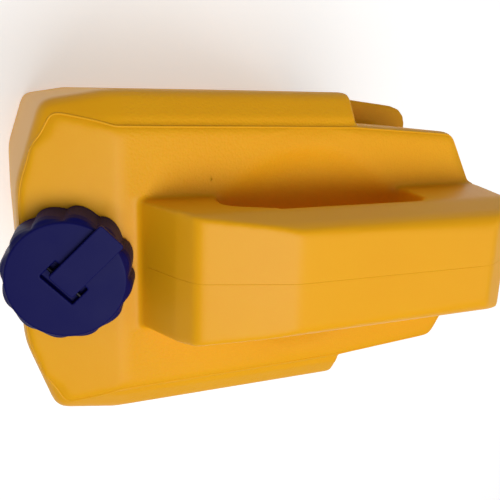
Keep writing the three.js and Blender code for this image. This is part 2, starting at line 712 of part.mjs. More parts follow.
// Each head is a cup that opens upwards when the bowl is down, with a flow disc and a perforated rose in it.
const headFloor = 3.5;
const discSeat = headFloor + 6;
const roseSeat = HEAD_HEIGHT - ROSE_THICKNESS - 1.5;

function sprayHead() {
  const cup = turned("y", [
    [0, 0],
    [HEAD_R - 3, 0],
    [HEAD_R - 3, headFloor],
    [HEAD_R - 1, headFloor + 4],
    [HEAD_R, headFloor + 8],
    [HEAD_R, HEAD_HEIGHT],
    [HEAD_R - HEAD_WALL, HEAD_HEIGHT],
    [HEAD_R - HEAD_WALL, roseSeat],
    [HEAD_R - HEAD_WALL - 1, roseSeat],
    [HEAD_R - HEAD_WALL - 1, discSeat],
    [HEAD_R - HEAD_WALL - 3, discSeat],
    [HEAD_R - HEAD_WALL - 3, headFloor],
    [0, headFloor],
  ]);
  const inlet = placed(rod("z", TUBE_BORE_R, -HEAD_R - 1, 0, 16), 0, headFloor + TUBE_BORE_R + 0.3, 0);
  const screwHole = rod("y", HEAD_SCREW_R + FIT, -1, headFloor - 0.5, 16);
  return cut(cup, inlet, screwHole);
}

const flowDisc = () => {
  const radius = HEAD_R - HEAD_WALL - 1 - FIT;
  const disc = rod("y", radius, discSeat + FIT, discSeat + FIT + FLOW_DISC_THICKNESS, 24);
  return cut(disc, rod("y", 2.2, 0, HEAD_HEIGHT, 12));
};

function sprayRose() {
  const radius = HEAD_R - HEAD_WALL - FIT;
  const rose = rod("y", radius, roseSeat + FIT, roseSeat + FIT + ROSE_THICKNESS);
  const holes = [[6, 4.2], [10, 9.2]].flatMap(([count, circleR]) =>
    Array.from({ length: count }, (_, i) => {
      const angle = (i / count) * 2 * Math.PI;
      const hole = rod("y", ROSE_HOLE_R, 0, HEAD_HEIGHT + 1, 6);
      return placed(hole, circleR * Math.cos(angle), 0, circleR * Math.sin(angle));
    }),
  );
  return cut(rose, ...holes);
}

// ---------------------------------------------------------------- pivots, outlet and catch

const cheekIn = BOWL_X - BOWL_WALL;
const washerIn = BOWL_X + FIT;

function pivotPin(side) {
  const profile = [
    [0, cheekIn - 3 - FIT],
    [PIVOT_HEAD_R, cheekIn - 3 - FIT],
    [PIVOT_HEAD_R, cheekIn - FIT],
    [PIVOT_R, cheekIn - FIT],
    [PIVOT_R, NICHE_X + 0.2],
    [PIVOT_THREAD_R, NICHE_X + 0.2],
    [PIVOT_THREAD_R, NICHE_X + INSERT_LENGTH - 3],
    [0, NICHE_X + INSERT_LENGTH - 3],
  ];
  return turned("x", profile.map(([r, h]) => [r, side * h]));
}

const pivotBush = (side) =>
  turned("x", [
    [runningBore(PIVOT_R), side * cheekIn],
    [PIVOT_R + BUSH_WALL, side * cheekIn],
    [PIVOT_R + BUSH_WALL, side * BOWL_X],
    [runningBore(PIVOT_R), side * BOWL_X],
  ]);

const pivotWasher = (side) =>
  turned("x", [
    [PIVOT_R + FIT, side * washerIn],
    [PIVOT_HEAD_R + 1, side * washerIn],
    [PIVOT_HEAD_R + 1, side * (washerIn + WASHER_THICKNESS)],
    [PIVOT_R + FIT, side * (washerIn + WASHER_THICKNESS)],
  ]);

const pivotInsert = (side) =>
  turned("x", [
    [PIVOT_THREAD_R + FIT, side * (NICHE_X + 2 * FIT)],
    [INSERT_R, side * (NICHE_X + 2 * FIT)],
    [INSERT_R, side * (NICHE_X + INSERT_LENGTH)],
    [PIVOT_THREAD_R + FIT, side * (NICHE_X + INSERT_LENGTH)],
  ], 20);

// The outlet's own frame: its origin is on the niche's back face, and +Y leads into the tank.
const gasketY = WALL + FIT;
const flangeY = gasketY + OUTLET_GASKET + FIT;
const stubEnd = flangeY + FLANGE_THICKNESS + 8;

function outletFitting() {
  const shank = rod("y", SHANK_R, -OUTLET_NUT_THICKNESS - 4 - SHANK_GRIP + 1, flangeY + 1);
  const flange = rod("y", FLANGE_R, flangeY, flangeY + FLANGE_THICKNESS);
  const stub = rod("y", SHANK_R - 2, flangeY, stubEnd);
  return cut(join(shank, flange, stub), rod("y", SHANK_R - 4, -60, 60, 24));
}

const outletNut = () => {
  const hexagon = Array.from({ length: 6 }, (_, i) => {
    const angle = ((i + 0.5) / 6) * 2 * Math.PI;
    const radius = OUTLET_NUT_FLATS / 2 / Math.cos(Math.PI / 6);
    return new THREE.Vector2(radius * Math.cos(angle), radius * Math.sin(angle));
  });
  const nut = prism("y", hexagon, -OUTLET_NUT_THICKNESS - FIT, -FIT);
  return cut(nut, rod("y", SHANK_R + FIT, -20, 20));
};

function outletStrainer() {
  const low = flangeY + FLANGE_THICKNESS + FIT;
  const high = low + STRAINER_LENGTH;
  const basket = cut(
    rod("y", SHANK_R, low, high, 24),
    rod("y", SHANK_R - 2 + FIT, low - 1, high - 2, 24),
  );
  const slots = [0, 45, 90, 135].flatMap((degrees) => {
    const slot = block(-20, 20, low + 12, high - 5, -1.2, 1.2);
    return moved(slot, new THREE.Matrix4().makeRotationY(THREE.MathUtils.degToRad(degrees)));
  });
  return cut(basket, ...slots);
}

// A spring-steel channel under the niche's top, whose two leaves grip the rib on the bowl's lip.
function catchClip() {
  const top = NICHE_TOP - FIT;
  const rear = CATCH_SCREW_Y + 7;
  const front = FRONT + 9;
  const leafTip = HINGE_HEIGHT + BOWL_REACH + 2;
  const plate = block(-CATCH_WIDTH / 2, CATCH_WIDTH / 2, front, rear, top - CATCH_SHEET, top);
  const leaves = [-1, 1].map((side) => {
    const inner = CATCH_RIB / 2 + FIT;
    const [a, b] = [side * inner, side * (inner + CATCH_SHEET)];
    return block(Math.min(a, b), Math.max(a, b), front, front + 14, leafTip, top - CATCH_SHEET / 2);
  });
  const screwHole = placed(rod("z", CATCH_SCREW_R + FIT, top - 5, top + 5, 16), 0, CATCH_SCREW_Y, 0);
  return cut(join(plate, ...leaves), screwHole);
}

function catchScrew() {
  const under = NICHE_TOP - FIT - CATCH_SHEET - FIT;
  const profile = [
    [0, under - 2.4],
    [CATCH_SCREW_R * 1.5, under - 2.4],
    [CATCH_SCREW_R * 2, under - 1.4],
    [CATCH_SCREW_R * 2, under],
    [CATCH_SCREW_R, under],
    [CATCH_SCREW_R, NICHE_TOP + CATCH_SCREW_LENGTH - 1],
    [0, NICHE_TOP + CATCH_SCREW_LENGTH - 1],
  ];
  return placed(turned("z", profile, 20), 0, CATCH_SCREW_Y, 0);
}

// ---------------------------------------------------------------- assembly

const station = new THREE.Group();
add(station, "tank_shell", tank(), "yellowTank");

const cap = new THREE.Group();
cap.applyMatrix4(neckFrame);
station.add(cap);
add(cap, "fill_cap", fillCap(), "blueCap");
const gasketLow = NECK_TOP + FIT;
const gasketSeal = ring("z", NECK_BORE_R + 0.5, capBoreR - FIT, gasketLow, gasketLow + GASKET_THICKNESS, 40);
add(cap, "cap_gasket", gasketSeal, "rubber");

const flap = new THREE.Group();
flap.applyMatrix4(flapFrame);
cap.add(flap);
add(flap, "vent_flap", ventFlap(), "blueCap");
add(flap, "vent_plug", ventPlug(), "rubber");
add(flap, "vent_flap_pin", rod("y", FLAP_PIN_R, -pinHalf, pinHalf), "steel");

const outlet = new THREE.Group();
outlet.position.set(0, NICHE_BACK, HINGE_HEIGHT);
station.add(outlet);
add(outlet, "outlet_fitting", outletFitting(), "greyPlastic");
add(outlet, "outlet_gasket", ring("y", SHANK_R + FIT, FLANGE_R, gasketY, gasketY + OUTLET_GASKET), "rubber");
add(outlet, "outlet_nut", outletNut(), "greyPlastic");
add(outlet, "outlet_strainer", outletStrainer(), "whitePlastic");

const hinge = new THREE.Group();
hinge.position.set(0, HINGE_Y, HINGE_HEIGHT);
station.add(hinge);
add(hinge, "valve_body", valveBody(), "greyPlastic");
add(hinge, "valve_rotor", valveRotor(), "whitePlastic");
add(hinge, "wash_bowl", bowl(), "yellowBowl");
for (const [side, hand] of [[-1, "left"], [1, "right"]]) {
  add(hinge, `rotor_seal_${hand}`, rotorSeal(), "rubber").position.x = side * SEAL_X;
  add(hinge, `pivot_pin_${hand}`, pivotPin(side), "steel");
  add(hinge, `pivot_bush_${hand}`, pivotBush(side), "whitePlastic");
  add(hinge, `pivot_washer_${hand}`, pivotWasher(side), "steel");
  add(hinge, `pivot_insert_${hand}`, pivotInsert(side), "brass");
  add(hinge, `supply_tube_${hand}`, supplyTube(side), "greyPlastic");
  const head = new THREE.Group();
  head.position.set((side * HEAD_SPREAD) / 2, headY, HEAD_REACH);
  hinge.add(head);
  add(head, `spray_head_${hand}`, sprayHead(), "whitePlastic");
  add(head, `flow_disc_${hand}`, flowDisc(), "greyPlastic");
  add(head, `spray_rose_${hand}`, sprayRose(), "steel");
  add(head, `head_screw_${hand}`, headScrew(), "steel").position.y = bowlFace - headY;
}
add(station, "catch_clip", catchClip(), "steel");
add(station, "catch_screw", catchScrew(), "steel");

export default station;
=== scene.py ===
# %% [markdown]
# # A gravity-fed eyewash station
#
# A yellow blow-moulded tank has a carrying handle, a dark blue filler cap and a fold-down wash bowl. The
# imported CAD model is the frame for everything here: it says where each piece is, how large it is and what
# it moves with. Blender gives each piece its finished surface.
#
# Lengths are in metres, and MM turns millimetres into metres.

# %% Load the frame
import json
import math

import bmesh
import bpy
import numpy as np
from mathutils import Matrix, Vector
from mathutils.bvhtree import BVHTree

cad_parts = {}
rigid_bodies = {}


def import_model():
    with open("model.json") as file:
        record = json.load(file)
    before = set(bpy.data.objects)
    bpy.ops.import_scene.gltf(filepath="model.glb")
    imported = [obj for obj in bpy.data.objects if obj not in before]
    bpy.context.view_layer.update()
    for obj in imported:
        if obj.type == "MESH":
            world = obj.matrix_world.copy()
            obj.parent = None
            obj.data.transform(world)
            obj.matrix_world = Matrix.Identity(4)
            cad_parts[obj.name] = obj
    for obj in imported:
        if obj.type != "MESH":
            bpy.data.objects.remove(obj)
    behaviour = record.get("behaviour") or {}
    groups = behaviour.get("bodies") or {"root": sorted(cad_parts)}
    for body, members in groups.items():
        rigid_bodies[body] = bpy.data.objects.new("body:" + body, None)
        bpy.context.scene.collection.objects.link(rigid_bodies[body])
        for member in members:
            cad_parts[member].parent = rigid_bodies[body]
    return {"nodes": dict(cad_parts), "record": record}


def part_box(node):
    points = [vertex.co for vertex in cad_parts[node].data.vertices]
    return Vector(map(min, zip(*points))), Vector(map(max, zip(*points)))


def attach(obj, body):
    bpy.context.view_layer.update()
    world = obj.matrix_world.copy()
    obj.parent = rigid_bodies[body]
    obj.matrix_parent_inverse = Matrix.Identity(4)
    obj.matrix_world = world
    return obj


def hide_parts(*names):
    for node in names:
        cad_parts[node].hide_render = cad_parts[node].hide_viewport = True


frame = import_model()
NODES = frame["nodes"]
JOINTS = {joint["name"]: joint for joint in frame["record"]["behaviour"]["joints"]}
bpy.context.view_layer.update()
BODIES = frame["record"]["behaviour"]["bodies"]
BODY_OF = {node: body for body, nodes in BODIES.items() for node in nodes}
SLOT_OF = {row["node"]: row["material_slot"] for row in frame["record"]["subparts"]}
MM = 0.001


# %% [markdown]
# ## Camera
#
# The station is seen from above its filler end, close enough for strong perspective. A place and a point
# to look at are easier to read than a matrix. The camera's top points along +X, so the tank lies across
# the frame, and a small roll levels it.

# %% Camera
CAMERA_PLACE = Vector((0.143, 0.214, 0.822))
CAMERA_AIM = Vector((0.0042, 0.0248, 0.372))
CAMERA_ROLL = math.radians(1.86)
LENS_MM = 46.8
SENSOR_MM = 36


def placed_axes(place, x_way, y_way, z_way):
    """A matrix that puts the X, Y and Z axes along three given directions, at a place."""
    return Matrix.Translation(place) @ Matrix((x_way, y_way, z_way)).transposed().to_4x4()


def make_camera():
    forward = (CAMERA_AIM - CAMERA_PLACE).normalized()
    up = Vector((1, 0, 0))
    up = (up - forward * up.dot(forward)).normalized()
    up.rotate(Matrix.Rotation(-CAMERA_ROLL, 3, forward))
    right = forward.cross(up)
    camera = bpy.data.objects.new("camera", bpy.data.cameras.new("camera"))
    camera.data.lens = LENS_MM
    camera.data.sensor_width = SENSOR_MM
    camera.matrix_world = placed_axes(CAMERA_PLACE, right, up, -forward)
    bpy.context.scene.collection.objects.link(camera)
    bpy.context.scene.camera = camera


make_camera()
print("camera at", tuple(CAMERA_PLACE))


# %% [markdown]
# ## Small helpers
#
# Colours are written as sRGB hex, as on a paint chart, and one function turns them linear. Another adds a
# shader or geometry node with its settings and links. The rest turn meshes into pieces, and modifiers
# into plain meshes.

# %% Helpers
MERGE_DISTANCE = 0.002 * MM


def colour(hex_code):
    """An sRGB hex colour as linear RGBA."""
    channels = [int(hex_code[i : i + 2], 16) / 255 for i in (0, 2, 4)]
    return (*[c / 12.92 if c <= 0.04045 else ((c + 0.055) / 1.055) ** 2.4 for c in channels], 1)


def add_node(tree, kind, inputs=None, **settings):
    """Adds a node. Settings are its own properties; inputs are values, or sockets to link from."""
    made = tree.nodes.new(kind)
    for name, value in settings.items():
        setattr(made, name, value)
    for name, value in (inputs or {}).items():
        if isinstance(value, bpy.types.NodeSocket):
            tree.links.new(value, made.inputs[name])
        else:
            made.inputs[name].default_value = value
    return made


def link_piece(name, mesh, body, material):
    """A finished mesh as a piece that rides on a body."""
    piece = bpy.data.objects.new(name, mesh)
    bpy.context.scene.collection.objects.link(piece)
    mesh.materials.clear()
    mesh.materials.append(material)
    for polygon in mesh.polygons:
        polygon.use_smooth = True
    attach(piece, body)
    return piece


def baked(piece, name):
    """The piece with its modifiers applied, as a plain mesh. The helper object is removed."""
    depsgraph = bpy.context.evaluated_depsgraph_get()
    mesh = bpy.data.meshes.new_from_object(piece.evaluated_get(depsgraph))
    mesh.name = name
    bpy.data.objects.remove(piece)
    return mesh


def copy_of(node):
    """A CAD node's mesh as a bmesh, its loose triangles merged."""
    shape = bmesh.new()
    shape.from_mesh(NODES[node].data)
    bmesh.ops.remove_doubles(shape, verts=shape.verts, dist=MERGE_DISTANCE)
    return shape


def loose(shape, name):
    """A bmesh as an object that isn't a piece yet."""
    mesh = bpy.data.meshes.new(name)
    shape.to_mesh(mesh)
    shape.free()
    helper = bpy.data.objects.new(name, mesh)
    bpy.context.scene.collection.objects.link(helper)
    return helper


print("half grey is", round(colour("808080")[0], 3), "linear")


# %% [markdown]
# ## Finishes
#
# The tank is **high-density polyethylene**, blow-moulded: slightly waxy, so light enters it a little,
# with a broad sheen. Its deck took a leather grain from the mould, and the handle and the filler slope
# are smooth.
#
# The grain is too shallow to change the outline, so it is a bump pattern and not modelled. Patterns made
# from noise need no unwrapping, and their scale can be written in millimetres.

# %% Polyethylene
GRAIN_MM = 1.9  # one cell of the leather grain, drawn a little coarse so that it shows
GRAIN_WARP_MM = 2.5  # unevenness from cell to cell
GRAIN_DEPTH = 0.35 * MM  # deeper than the real grain, for the same reason
CLOUD_MM = 1000 / 14  # slow drift in colour where the wall is thicker or thinner
PEEL_MM = 1000 / 90  # the slight waviness of a blown surface
PEEL_DEPTH = 1 * MM
SMOOTH_ROUGHNESS = 0.44
GRAINED_ROUGHNESS = 0.56
LIGHT_REACH = (1.0, 0.55, 0.1)  # red light travels furthest inside yellow plastic, and blue hardly at all


def principled(name, base, roughness, **inputs):
    """A material with one Principled shader. Further inputs are named as on the node, with underscores."""
    material = bpy.data.materials.new(name)
    material.use_nodes = True
    shader = material.node_tree.nodes["Principled BSDF"]
    shader.inputs["Base Color"].default_value = colour(base)
    shader.inputs["Roughness"].default_value = roughness
    for socket, value in inputs.items():
        shader.inputs[socket.replace("_", " ")].default_value = value
    return material, material.node_tree, shader


def blow_moulded_hdpe(name, base, deep):
    """Waxy and soft: broad dim highlights, warm depth at thin edges, and grain where the mask says."""
    material, tree, shader = principled(
        name,
        base,
        0.4,
        IOR=1.5,
        Specular_IOR_Level=0.22,
        Subsurface_Weight=0.12,
        Subsurface_Scale=4 * MM,
    )
    shader.inputs["Subsurface Radius"].default_value = LIGHT_REACH
    place = add_node(tree, "ShaderNodeTexCoord").outputs["Object"]
    clouds = add_node(
        tree, "ShaderNodeTexNoise", {"Vector": place, "Scale": 1 / (CLOUD_MM * MM), "Detail": 3}
    )
    tint = add_node(tree, "ShaderNodeMix", {"Factor": clouds.outputs["Fac"]}, data_type="RGBA")
    tint.inputs["A"].default_value = colour(base)
    tint.inputs["B"].default_value = colour(deep)
    tree.links.new(tint.outputs["Result"], shader.inputs["Base Color"])

    mask = add_node(tree, "ShaderNodeAttribute", attribute_name="grain").outputs["Fac"]
    warp = add_node(
        tree, "ShaderNodeTexNoise", {"Vector": place, "Scale": 1 / (GRAIN_WARP_MM * MM), "Detail": 2}
    )
    cells = add_node(
        tree,
        "ShaderNodeTexVoronoi",
        {"Vector": place, "Scale": 1 / (GRAIN_MM * MM)},
        feature="SMOOTH_F1",
    )
    cells.inputs["Smoothness"].default_value = 0.6
    uneven = add_node(
        tree, "ShaderNodeMath", {0: cells.outputs["Distance"], 1: warp.outputs["Fac"]}, operation="ADD"
    )
    grain = add_node(tree, "ShaderNodeMath", {0: uneven.outputs[0], 1: mask}, operation="MULTIPLY")
    grain_bump = add_node(
        tree,
        "ShaderNodeBump",
        {"Height": grain.outputs[0], "Strength": 0.6, "Distance": GRAIN_DEPTH},
    )
    peel = add_node(tree, "ShaderNodeTexNoise", {"Vector": place, "Scale": 1 / (PEEL_MM * MM), "Detail": 2})
    bump = add_node(
        tree,
        "ShaderNodeBump",
        {
            "Height": peel.outputs["Fac"],
            "Strength": 0.12,
            "Distance": PEEL_DEPTH,
            "Normal": grain_bump.outputs["Normal"],
        },
    )
    tree.links.new(bump.outputs["Normal"], shader.inputs["Normal"])
    rough = add_node(
        tree,
        "ShaderNodeMapRange",
        {"Value": mask, "To Min": SMOOTH_ROUGHNESS, "To Max": GRAINED_ROUGHNESS},
    )
    tree.links.new(rough.outputs["Result"], shader.inputs["Roughness"])
    return material


HDPE = blow_moulded_hdpe("yellow_hdpe_blow_moulded", "F4B011", "EFA60C")
print(HDPE.name, len(HDPE.node_tree.nodes), "nodes")


# %% [markdown]
# The cap and its flap are **injection-moulded polypropylene**: darker, with an even satin from a
# spark-eroded mould. The bowl, the spray heads, the valve and the seals are moulded too, so one function
# makes them all. Each differs in colour, gloss and how far light enters it.

# %% Moulded plastics and rubber
SATIN_MM = 0.5  # a spark-eroded mould is finer than this, drawn coarser so that it shows
SATIN_STRENGTH = 0.25
WEAR_MM = 1000 / 60  # patches that handling has polished


def moulded_plastic(name, base, roughness, **inputs):
    """A fine even satin from the mould, with patches that handling has made a little shinier."""
    material, tree, shader = principled(name, base, roughness, IOR=1.49, **inputs)
    place = add_node(tree, "ShaderNodeTexCoord").outputs["Object"]
    satin = add_node(
        tree, "ShaderNodeTexNoise", {"Vector": place, "Scale": 1 / (SATIN_MM * MM), "Detail": 2}
    )
    bump = add_node(
        tree,
        "ShaderNodeBump",
        {"Height": satin.outputs["Fac"], "Strength": SATIN_STRENGTH, "Distance": 0.1 * MM},
    )
    tree.links.new(bump.outputs["Normal"], shader.inputs["Normal"])
    wear = add_node(tree, "ShaderNodeTexNoise", {"Vector": place, "Scale": 1 / (WEAR_MM * MM), "Detail": 4})
    rough = add_node(
        tree,
        "ShaderNodeMapRange",
        {"Value": wear.outputs["Fac"], "To Min": roughness - 0.06, "To Max": roughness + 0.08},
    )
    tree.links.new(rough.outputs["Result"], shader.inputs["Roughness"])
    return material


# Deep blue pigment: nearly matt, and dark even in full light.
POLYPROPYLENE = moulded_plastic("blue_polypropylene_moulded", "0A0A50", 0.5, Specular_IOR_Level=0.12)
# Milky and slightly glossy, with light just under the surface.
ACETAL = moulded_plastic(
    "white_acetal_moulded", "E8E8E2", 0.35, Subsurface_Weight=0.1, Subsurface_Scale=2 * MM
)
# Glass fibre near the surface dulls it to an even mid grey.
NYLON = moulded_plastic("grey_glass_filled_nylon", "6A6F73", 0.45)
# The tank's yellow, a little glossier because a steel mould pressed both of its faces.
BOWL_PLASTIC = moulded_plastic(
    "yellow_polypropylene_bowl",
    "F3AC14",
    0.42,
    Specular_IOR_Level=0.25,
    Subsurface_Weight=0.1,
    Subsurface_Scale=4 * MM,
)
# Carbon black and no gloss.
RUBBER = moulded_plastic("black_epdm_moulded", "1B1B1C", 0.72)
print(POLYPROPYLENE.name, ACETAL.name, NYLON.name, BOWL_PLASTIC.name, RUBBER.name)


# %% [markdown]
# The bright small parts are **stainless steel**, and the inserts in the tank are **turned brass**. A tool
# or an abrasive belt leaves fine lines that stretch each highlight across them. A noise that is stretched
# along one axis draws such lines on every part alike.

# %% Metals
LINE_MM = 0.25  # wider than real tool marks, so that they show
LINES_STRETCH = 0.05  # the lines are twenty times longer than they are wide


def turned_metal(name, base, roughness):
    """Bare metal with fine lines along the station's depth."""
    material, tree, shader = principled(name, base, roughness, Metallic=1.0)
    place = add_node(tree, "ShaderNodeTexCoord").outputs["Object"]
    lines = add_node(tree, "ShaderNodeMapping", {"Vector": place, "Scale": (1, LINES_STRETCH, 1)})
    brushed = add_node(
        tree, "ShaderNodeTexNoise", {"Vector": lines.outputs[0], "Scale": 1 / (LINE_MM * MM), "Detail": 3}
    )
    bump = add_node(
        tree, "ShaderNodeBump", {"Height": brushed.outputs["Fac"], "Strength": 0.15, "Distance": 0.05 * MM}
    )
    tree.links.new(bump.outputs["Normal"], shader.inputs["Normal"])
    rough = add_node(
        tree,
        "ShaderNodeMapRange",
        {"Value": brushed.outputs["Fac"], "To Min": roughness - 0.08, "To Max": roughness + 0.1},
    )
    tree.links.new(rough.outputs["Result"], shader.inputs["Roughness"])
    return material


# Pale and cool, with clear stretched highlights.
STAINLESS = turned_metal("stainless_steel_brushed", "C9CBCC", 0.28)
# Warm and a little dulled by air.
BRASS = turned_metal("brass_turned", "B8974E", 0.3)
# The flap's pin is blackened, so it doesn't show as a bright spot beside the dark flap.
BLACKENED = turned_metal("blackened_stainless_pin", "2A2A30", 0.45)
print(STAINLESS.name, BRASS.name, BLACKENED.name)


# %% [markdown]
# The record names a slot for each CAD node. A table from slot to finish gives every node its material at
# once.

# %% Finish for each slot
FINISHES = {
    "tank": HDPE,
    "bowl": BOWL_PLASTIC,
    "cap": POLYPROPYLENE,
    "white_plastic": ACETAL,
    "grey_plastic": NYLON,
    "rubber": RUBBER,
    "steel": STAINLESS,
    "brass": BRASS,
}
for node_name, cad in NODES.items():
    cad.data.materials.clear()
    cad.data.materials.append(FINISHES[SLOT_OF[node_name]])
print("finishes:", ", ".join(material.name for material in FINISHES.values()))


# %% [markdown]
# ## Tank
#
# Blow moulding presses a soft tube of plastic against a cold mould, so every edge comes out rounded. The
# CAD shell has the right shape with crisp edges. Bevels would have to be fitted wherever edges of
# different kinds meet. A voxel remesh turns the skin into an even fine mesh instead, and smoothing rounds
# all its edges together. The neck is left out of the smoothing, so it keeps its thread.
#
# The CAD shell is hollow. Its inside can't be seen, so only the skin outside the two passages is kept,
# and each passage ends in a shallow pit.

# %% Outer skin
CAP_AXIS = Vector(JOINTS["cap_turn"]["axis"]).normalized()
NECK_FOOT = Vector(JOINTS["cap_turn"]["pos_m"])
HINGE = Vector(JOINTS["bowl_fold"]["pos_m"])
DECK_Z = 372 * MM
NECK_BORE_R = 29 * MM
NECK_CLEAR_R = 40 * MM  # nothing but the neck is nearer to its axis, above the slope
NECK_ROOT = 40 * MM  # the bore ends above this depth
NECK_PIT = 14 * MM
OUTLET_HOLE_R = 12.3 * MM
OUTLET_REACH = 60 * MM
OUTLET_PIT = 3 * MM
PASSAGE_SLACK = 0.4 * MM


def neck_place(point):
    """Distance from the neck's axis, and height along it above the filler slope."""
    away = point - NECK_FOOT
    height = away.dot(CAP_AXIS)
    return (away - CAP_AXIS * height).length, height


def on_passage(point):
    """True on the two passages that join the tank's outside to its inside."""
    radius, height = neck_place(point)
    in_bore = abs(radius - NECK_BORE_R) < PASSAGE_SLACK and height > -NECK_ROOT
    from_outlet = math.hypot(point.x, point.z - HINGE.z)
    near_outlet = abs(point.y - HINGE.y) < OUTLET_REACH
    in_outlet = abs(from_outlet - OUTLET_HOLE_R) < PASSAGE_SLACK and near_outlet
    return in_bore or in_outlet


def joined_faces(start):
    """Every face that can be reached from one face over shared edges."""
    reached, waiting = {start}, [start]
    while waiting:
        face = waiting.pop()
        for edge in face.edges:
            for other in edge.link_faces:
                if other not in reached:
                    reached.add(other)
                    waiting.append(other)
    return reached


def open_edges(shape):
    return [edge for edge in shape.edges if edge.is_boundary]


def outer_skin():
    """The tank's outside as a closed surface, with a short pit where the neck and the outlet open."""
    shape = copy_of("tank_shell")
    walls = [face for face in shape.faces if all(on_passage(vert.co) for vert in face.verts)]
    bmesh.ops.delete(shape, geom=walls, context="FACES")
    outside = joined_faces(min(shape.faces, key=lambda face: face.calc_center_median().z))
    outside_count = len(outside)
    inside = [face for face in shape.faces if face not in outside]
    bmesh.ops.delete(shape, geom=inside, context="FACES")
    made = bmesh.ops.extrude_edge_only(shape, edges=open_edges(shape))["geom"]
    deeper = [item for item in made if isinstance(item, bmesh.types.BMVert)]
    for vert in deeper:
        radius, height = neck_place(vert.co)
        at_neck = height > 0 and radius < NECK_CLEAR_R
        vert.co += -CAP_AXIS * NECK_PIT if at_neck else Vector((0, OUTLET_PIT, 0))
    bmesh.ops.holes_fill(shape, edges=open_edges(shape), sides=0)
    bmesh.ops.recalc_face_normals(shape, faces=shape.faces)
    print("outer skin:", outside_count, "faces,", len(open_edges(shape)), "open edges")
    return shape


# %% Rounded edges
TANK_VOXEL = 1.7 * MM
TANK_ROUNDS = 14
TANK_TRIANGLES = 185000


def softened(helper, name, voxel, rounds, triangles, amount=None):
    """An even mesh of the helper's shape with rounded edges. amount(point) says how much to smooth it."""
    remesh = helper.modifiers.new("even", "REMESH")
    remesh.mode = "VOXEL"
    remesh.voxel_size = voxel
    mesh = baked(helper, name)
    helper = bpy.data.objects.new(name, mesh)
    bpy.context.scene.collection.objects.link(helper)
    group = helper.vertex_groups.new(name="soft")
    for vert in mesh.vertices:
        group.add([vert.index], amount(vert.co) if amount else 1.0, "REPLACE")
    smooth = helper.modifiers.new("round", "SMOOTH")
    smooth.factor = 0.5
    smooth.iterations = rounds
    smooth.vertex_group = "soft"
    thin = helper.modifiers.new("thin", "DECIMATE")
    thin.ratio = min(1, triangles / (2 * len(mesh.polygons)))
    finished = baked(helper, name)
    print(name, len(finished.polygons), "faces")
    return finished


def soft_amount(point):
    """All of the tank is smoothed but the neck."""
    radius, height = neck_place(point)
    return 0.0 if radius < NECK_CLEAR_R and height > 1 * MM else 1.0


TANK_MESH = softened(
    loose(outer_skin(), "tank_skin"),
    "tank_moulding",
    TANK_VOXEL,
    TANK_ROUNDS,
    TANK_TRIANGLES,
    soft_amount,
)


# %% [markdown]
# The deck is dished under the handle to make room for knuckles, and the dish runs into the deck without
# an edge. A bevel that wide would fold over the rest of the deck. So only the ring of points along the
# dish's border is smoothed again, many times.

# %% Dish under the handle
DISH_HALF_WIDTH = 83.5  # millimetres
DISH_HALF_LENGTH = 86
DISH_FORWARD = 25 * MM
DISH_RING = (0.8, 1.18)  # the smoothed ring, where 1 is the dish's border
FACES_UP = 0.85
DISH_ROUNDS = 45


def blend_dish_edge(mesh):
    shape = bmesh.new()
    shape.from_mesh(mesh)
    near = []
    for vert in shape.verts:
        along = (vert.co.y + DISH_FORWARD) / DISH_HALF_LENGTH
        from_middle = math.hypot(vert.co.x / DISH_HALF_WIDTH, along) / MM
        in_ring = DISH_RING[0] < from_middle < DISH_RING[1]
        at_deck = -8 < (vert.co.z - DECK_Z) / MM < 1.5
        if in_ring and at_deck and vert.normal.z > FACES_UP:
            near.append(vert)
    every_axis = {"use_axis_x": True, "use_axis_y": True, "use_axis_z": True}
    for _ in range(DISH_ROUNDS):
        bmesh.ops.smooth_vert(shape, verts=near, factor=0.5, **every_axis)
    shape.to_mesh(mesh)
    shape.free()
    print("dish edge:", len(near), "points blended")


blend_dish_edge(TANK_MESH)


# %% [markdown]
# The mould was grained on the deck, its rim and the flanks, but not on the handle or the filler slope.
# Two materials would meet in a hard line. One number at each point of the mesh fades the grain out
# instead, and the polyethylene reads it.

# %% Leather grain mask
GRAIN_END_Y = 124  # millimetres, just before the filler slope
HANDLE_SIDE_X = 48  # millimetres, just outside the handle
SLOPE_FADE = 6
FADE = 4
FACES_SIDEWAYS = 0.3


def paint_grain(mesh):
    count = len(mesh.vertices)
    places = np.empty(count * 3)
    normals = np.empty(count * 3)
    mesh.vertices.foreach_get("co", places)
    mesh.vertices.foreach_get("normal", normals)
    x, y, z = places.reshape(-1, 3).T / MM
    up = normals.reshape(-1, 3)[:, 2]
    deck = DECK_Z / MM
    before_slope = np.clip((GRAIN_END_Y - y) / SLOPE_FADE, 0, 1)
    below_handle = np.clip((deck + FADE - z) / FADE, 0, 1)
    off_handle = np.clip((np.abs(x) - HANDLE_SIDE_X) / FADE, 0, 1)
    on_top = np.maximum(off_handle, z < deck - 2)
    grained = before_slope * below_handle * np.where(up > FACES_SIDEWAYS, on_top, 1)
    layer = mesh.attributes.new("grain", "FLOAT", "POINT")
    layer.data.foreach_set("value", grained.astype(np.float32))
    print("grained:", round(100 * float(grained.mean())), "percent of the tank's points")


paint_grain(TANK_MESH)
tank_piece = link_piece("tank_moulding", TANK_MESH, "tank", HDPE)
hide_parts("tank_shell")


# %% [markdown]
# A blow mould leaves two fine lines on its part: a thin bead round the deck, where the mould's top insert
# met its walls, and the parting line along the middle of the handle. Both lie on the rounded tank, and
# only its finished mesh says where that is. So rays are cast at the mesh, and a thin round line is drawn
# through the points they hit.

